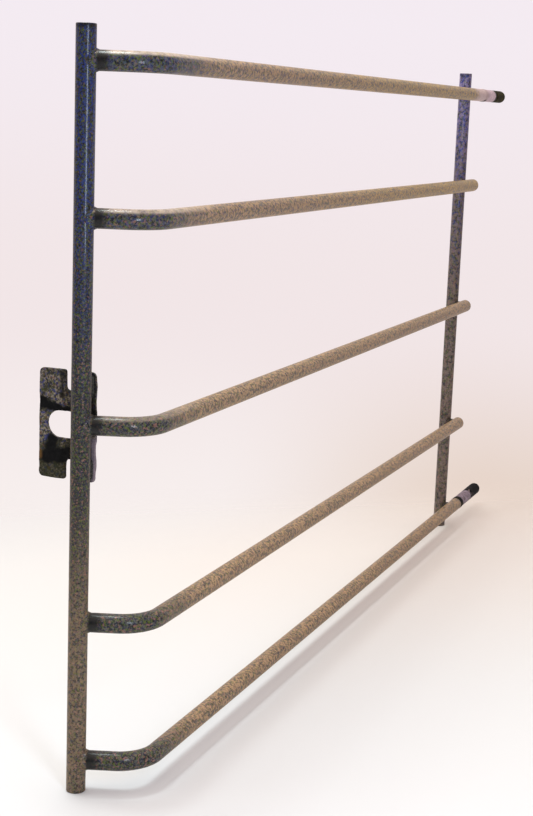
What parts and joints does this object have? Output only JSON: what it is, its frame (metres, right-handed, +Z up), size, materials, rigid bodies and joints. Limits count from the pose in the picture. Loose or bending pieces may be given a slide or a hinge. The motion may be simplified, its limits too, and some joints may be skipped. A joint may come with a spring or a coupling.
{
  "type": "livestock panel gate",
  "caption": "Barred livestock panel gate of bent round tube on upright tubes, with a slotted keeper plate and capped end spigots.",
  "frame": {"origin": "centre of the near upright's foot, on the surface the gate stands on", "axes": "+X along the rails from the near upright to the spigot ends, +Y towards the keeper plate, away from the rails, +Z up"},
  "size_m": [2.3409, 0.2176, 1.3],
  "materials": {
    "painted_tube": "dark grey semi-gloss paint, finely textured, dusty and paler towards the far end",
    "weld_metal": "rippled weld bead under paint, nearly black",
    "forged_plate": "rough forged scale, dark, worn brown-grey on the high faces",
    "bare_steel": "bare turned steel, scuffed, with light rust at the paint line",
    "black_rubber": "matt black rubber"
  },
  "bodies": {
    "root": {"near_upright": "painted_tube", "near_foot_plug": "painted_tube", "near_top_plug": "painted_tube", "far_upright": "painted_tube", "far_foot_plug": "painted_tube", "far_top_plug": "painted_tube", "top_rail": "painted_tube", "top_rail_leg_weld": "weld_metal", "top_rail_lap_weld": "weld_metal", "top_spigot": "bare_steel", "top_spigot_ring": "black_rubber", "top_spigot_cap": "black_rubber", "upper_rail": "painted_tube", "upper_rail_leg_weld": "weld_metal", "upper_rail_lap_weld": "weld_metal", "upper_rail_end_plug": "painted_tube", "middle_rail": "painted_tube", "middle_rail_leg_weld": "weld_metal", "middle_rail_lap_weld": "weld_metal", "middle_rail_end_plug": "painted_tube", "lower_rail": "painted_tube", "lower_rail_leg_weld": "weld_metal", "lower_rail_lap_weld": "weld_metal", "lower_rail_end_plug": "painted_tube", "bottom_rail": "painted_tube", "bottom_rail_leg_weld": "weld_metal", "bottom_rail_lap_weld": "weld_metal", "bottom_spigot": "bare_steel", "bottom_spigot_ring": "black_rubber", "bottom_spigot_cap": "black_rubber", "keeper_plate": "forged_plate", "keeper_weld_upper_inner": "weld_metal", "keeper_weld_upper_outer": "weld_metal", "keeper_weld_lower_inner": "weld_metal", "keeper_weld_lower_outer": "weld_metal"}
  },
  "joints": []
}
